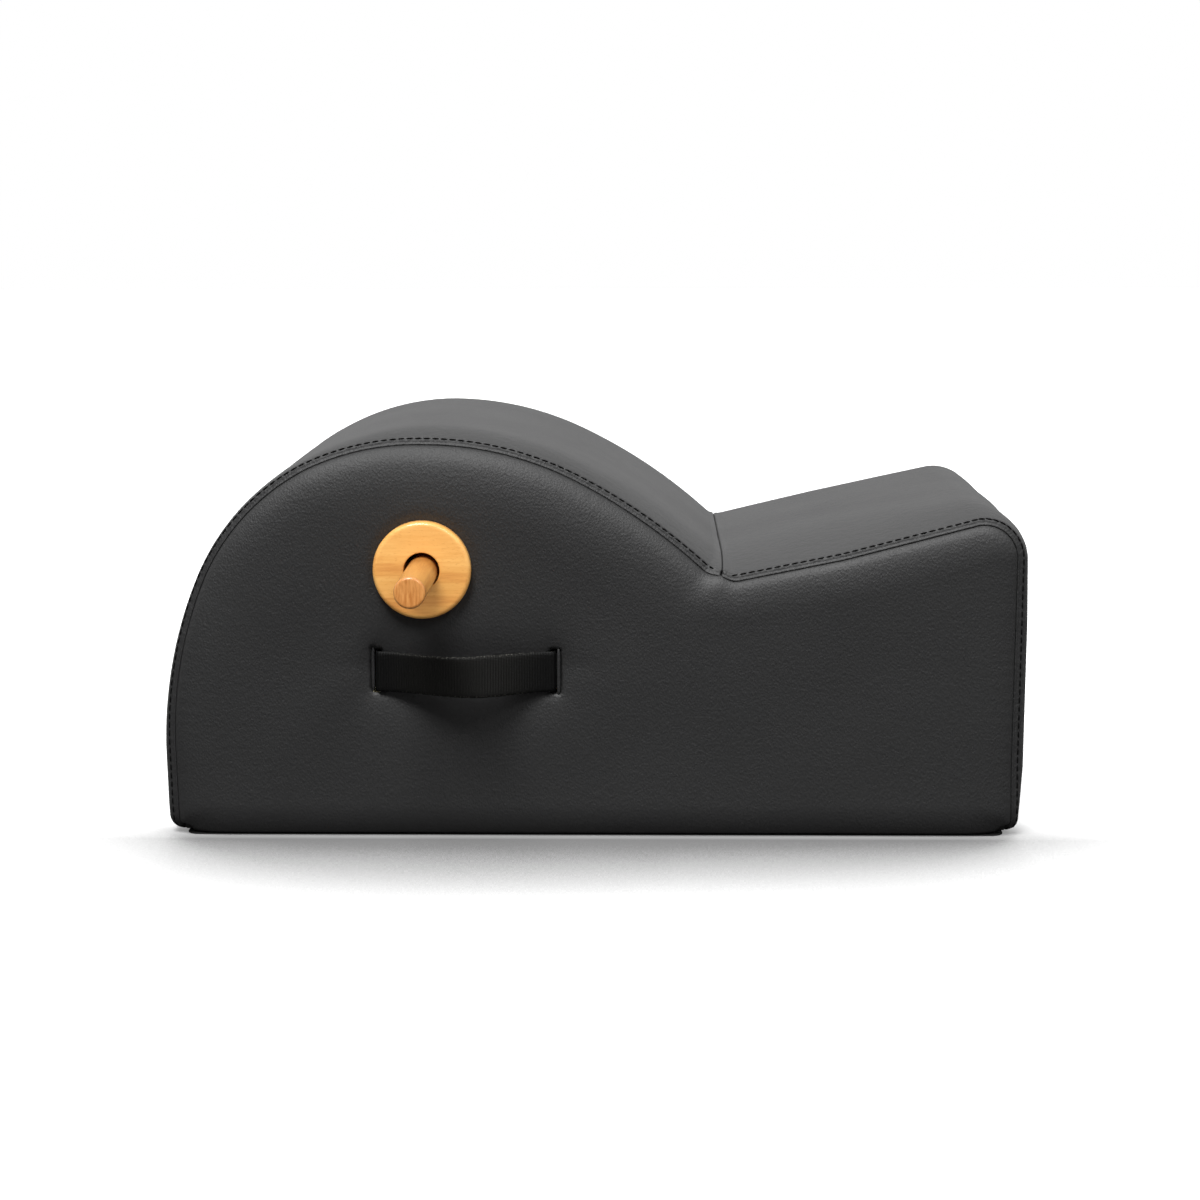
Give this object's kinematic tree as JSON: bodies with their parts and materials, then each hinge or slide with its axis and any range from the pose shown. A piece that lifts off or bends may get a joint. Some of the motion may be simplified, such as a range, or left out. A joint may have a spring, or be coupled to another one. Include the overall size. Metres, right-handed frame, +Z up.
{
  "type": "spine corrector",
  "caption": "Padded arc barrel with a sloping seat for spine stretching, with a sliding wooden dowel handle through its width and webbing carry straps.",
  "frame": {"origin": "on the floor, under the middle of the body's length and width", "axes": "+X along the body from the barrel towards the seat's end, +Y through the width towards the rear side, +Z up"},
  "size_m": [0.8501, 0.73, 0.402],
  "materials": {
    "cover": "charcoal leatherette, satin, fine grain",
    "welt": "charcoal leatherette binding, rolled",
    "foam": "cut polyurethane foam",
    "ply": "sanded birch plywood",
    "pine": "planed softwood",
    "beech": "varnished beech, turned",
    "dowel": "varnished beech rod",
    "tube": "wound card",
    "webbing": "black ribbed webbing",
    "steel": "zinc plated",
    "cloth": "black bottom cloth"
  },
  "bodies": {
    "body": {"hump_cover": "cover", "seat_cover": "cover", "front_side_cover": "cover", "rear_side_cover": "cover", "front_left_slit_lip": "welt", "front_right_slit_lip": "welt", "rear_left_slit_lip": "welt", "rear_right_slit_lip": "welt", "hump_foam": "foam", "seat_foam": "foam", "end_foam": "foam", "front_side_foam": "foam", "rear_side_foam": "foam", "hump_deck": "ply", "seat_deck": "ply", "end_board": "ply", "front_profile_board": "ply", "rear_profile_board": "ply", "base_board": "ply", "left_rail": "pine", "crest_rail": "pine", "valley_rail": "pine", "end_rail": "pine", "bottom_cloth": "cloth", "front_ring_bush": "beech", "rear_ring_bush": "beech", "guide_tube": "tube", "front_strap": "webbing", "rear_strap": "webbing", "front_left_strap_plate": "steel", "front_right_strap_plate": "steel", "rear_left_strap_plate": "steel", "rear_right_strap_plate": "steel", "front_left_lower_screw": "steel", "front_left_upper_screw": "steel", "front_right_lower_screw": "steel", "front_right_upper_screw": "steel", "rear_left_lower_screw": "steel", "rear_left_upper_screw": "steel", "rear_right_lower_screw": "steel", "rear_right_upper_screw": "steel"},
    "dowel": {"dowel_handle": "dowel"}
  },
  "joints": [
    {"name": "dowel_slide", "type": "slide", "parent": "body", "child": "dowel", "axis": [0, 1, 0], "range_m": [-0.128, 0.128]}
  ]
}
